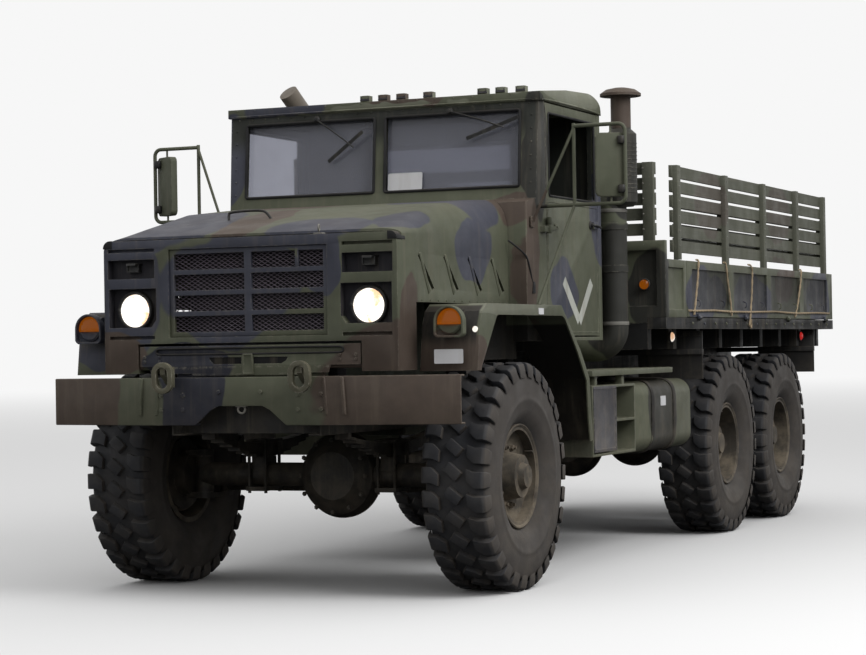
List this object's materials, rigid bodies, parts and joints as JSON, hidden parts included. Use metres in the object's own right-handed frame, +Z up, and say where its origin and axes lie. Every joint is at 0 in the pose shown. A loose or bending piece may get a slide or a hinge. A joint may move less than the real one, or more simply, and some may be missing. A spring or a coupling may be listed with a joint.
{
  "type": "military cargo truck",
  "caption": "Heavy off-road cargo truck with a hard cab, tilting hood, drop-side bed with stake racks and steered front wheels.",
  "frame": {"origin": "on the ground under the middle of the truck's overall length and width", "axes": "+X is the truck's left, +Y runs from the front to the rear, +Z is up"},
  "size_m": [3, 7.7999, 2.9727],
  "materials": {
    "camouflage_paint": "dusty matt three-colour camouflage",
    "chassis_paint": "dusty matt",
    "wheel_paint": "dusty matt",
    "tyre": "dusty sidewalls",
    "engine_iron": "oily",
    "radiator_core": "matt",
    "glass": "dusty",
    "lamp_glass": "clear",
    "lamp_plastic": "red",
    "seat_cover": "worn canvas",
    "dash_paint": "matt",
    "rubber": "dusty",
    "rack_wood": "painted camouflage",
    "exhaust_steel": "heat-stained"
  },
  "bodies": {
    "chassis": {"front_bumper": "camouflage_paint", "front_guard": "camouflage_paint", "fenders": "camouflage_paint", "cab_shell": "camouflage_paint", "cab_roof": "camouflage_paint", "bed_front_wall": "camouflage_paint", "tow_shackles": "camouflage_paint", "battery_box": "camouflage_paint", "fuel_tank": "camouflage_paint", "tool_box": "camouflage_paint", "air_intake": "camouflage_paint", "mirrors": "camouflage_paint", "frame_rails": "chassis_paint", "front_axle": "chassis_paint", "rear_axles": "chassis_paint", "front_springs": "chassis_paint", "rear_springs": "chassis_paint", "driveline": "chassis_paint", "spare_carrier": "chassis_paint", "air_reservoirs": "chassis_paint", "bed_floor": "chassis_paint", "rear_tow": "chassis_paint", "spare_rim": "wheel_paint", "spare_tyre": "tyre", "engine_block": "engine_iron", "radiator": "radiator_core", "cab_glass": "glass", "rear_lamps": "lamp_plastic", "cab_seats": "seat_cover", "dashboard": "dash_paint", "mud_flaps": "rubber", "front_rack": "rack_wood", "exhaust_stack": "exhaust_steel"},
    "hood": {"hood": "camouflage_paint", "grille": "camouflage_paint", "headlamps": "lamp_glass"},
    "door_left": {"door_left": "camouflage_paint"},
    "door_right": {"door_right": "camouflage_paint"},
    "side_gate_left": {"side_gate_left": "camouflage_paint", "side_rack_left": "rack_wood"},
    "side_gate_right": {"side_gate_right": "camouflage_paint", "side_rack_right": "rack_wood"},
    "tailgate": {"tailgate": "camouflage_paint"},
    "knuckle_left": {"knuckle_left": "chassis_paint"},
    "knuckle_right": {"knuckle_right": "chassis_paint"},
    "tie_rod": {"tie_rod": "chassis_paint"},
    "wheel_front_left": {"tyre_front_left": "tyre", "rim_front_left": "wheel_paint"},
    "wheel_front_right": {"tyre_front_right": "tyre", "rim_front_right": "wheel_paint"},
    "wheel_middle_left": {"tyre_middle_left": "tyre", "rim_middle_left": "wheel_paint"},
    "wheel_middle_right": {"tyre_middle_right": "tyre", "rim_middle_right": "wheel_paint"},
    "wheel_rear_left": {"tyre_rear_left": "tyre", "rim_rear_left": "wheel_paint"},
    "wheel_rear_right": {"tyre_rear_right": "tyre", "rim_rear_right": "wheel_paint"}
  },
  "joints": [
    {"name": "hood_tilt", "type": "hinge", "parent": "chassis", "child": "hood", "pos_m": [0, -3.665, 1.2], "axis": [1, 0, 0], "range_deg": [0, 65]},
    {"name": "door_left_swing", "type": "hinge", "parent": "chassis", "child": "door_left", "pos_m": [1.005, -1.977, 1.6], "axis": [0, 0, -1], "range_deg": [0, 70]},
    {"name": "door_right_swing", "type": "hinge", "parent": "chassis", "child": "door_right", "pos_m": [-1.005, -1.977, 1.6], "axis": [0, 0, 1], "range_deg": [0, 70]},
    {"name": "gate_left_drop", "type": "hinge", "parent": "chassis", "child": "side_gate_left", "pos_m": [1.254, 1.7, 1.448], "axis": [0, 1, 0], "range_deg": [0, 180]},
    {"name": "gate_right_drop", "type": "hinge", "parent": "chassis", "child": "side_gate_right", "pos_m": [-1.254, 1.7, 1.448], "axis": [0, -1, 0], "range_deg": [0, 180]},
    {"name": "tailgate_drop", "type": "hinge", "parent": "chassis", "child": "tailgate", "pos_m": [0, 3.666, 1.448], "axis": [-1, 0, 0], "range_deg": [0, 90]},
    {"name": "steer_left", "type": "hinge", "parent": "chassis", "child": "knuckle_left", "pos_m": [0.765, -2.8, 0.6], "axis": [0, 0, 1], "range_deg": [-28, 28]},
    {"name": "steer_right", "type": "hinge", "parent": "chassis", "child": "knuckle_right", "pos_m": [-0.765, -2.8, 0.6], "axis": [0, 0, 1], "range_deg": [-28, 28]},
    {"name": "tie_rod_swing", "type": "hinge", "parent": "knuckle_left", "child": "tie_rod", "pos_m": [0.765, -2.57, 0.51], "axis": [0, 0, 1], "range_deg": [-28, 28]},
    {"name": "roll_front_left", "type": "hinge", "parent": "knuckle_left", "child": "wheel_front_left", "pos_m": [0.99, -2.8, 0.6], "axis": [1, 0, 0], "continuous": true},
    {"name": "roll_front_right", "type": "hinge", "parent": "knuckle_right", "child": "wheel_front_right", "pos_m": [-0.99, -2.8, 0.6], "axis": [1, 0, 0], "continuous": true},
    {"name": "roll_middle_left", "type": "hinge", "parent": "chassis", "child": "wheel_middle_left", "pos_m": [0.99, 1.061, 0.6], "axis": [1, 0, 0], "continuous": true},
    {"name": "roll_middle_right", "type": "hinge", "parent": "chassis", "child": "wheel_middle_right", "pos_m": [-0.99, 1.061, 0.6], "axis": [1, 0, 0], "continuous": true},
    {"name": "roll_rear_left", "type": "hinge", "parent": "chassis", "child": "wheel_rear_left", "pos_m": [0.99, 2.433, 0.6], "axis": [1, 0, 0], "continuous": true},
    {"name": "roll_rear_right", "type": "hinge", "parent": "chassis", "child": "wheel_rear_right", "pos_m": [-0.99, 2.433, 0.6], "axis": [1, 0, 0], "continuous": true}
  ],
  "couplings": [
    {"joint": "steer_right", "follows": "steer_left", "ratio": 1},
    {"joint": "tie_rod_swing", "follows": "steer_left", "ratio": -1}
  ]
}
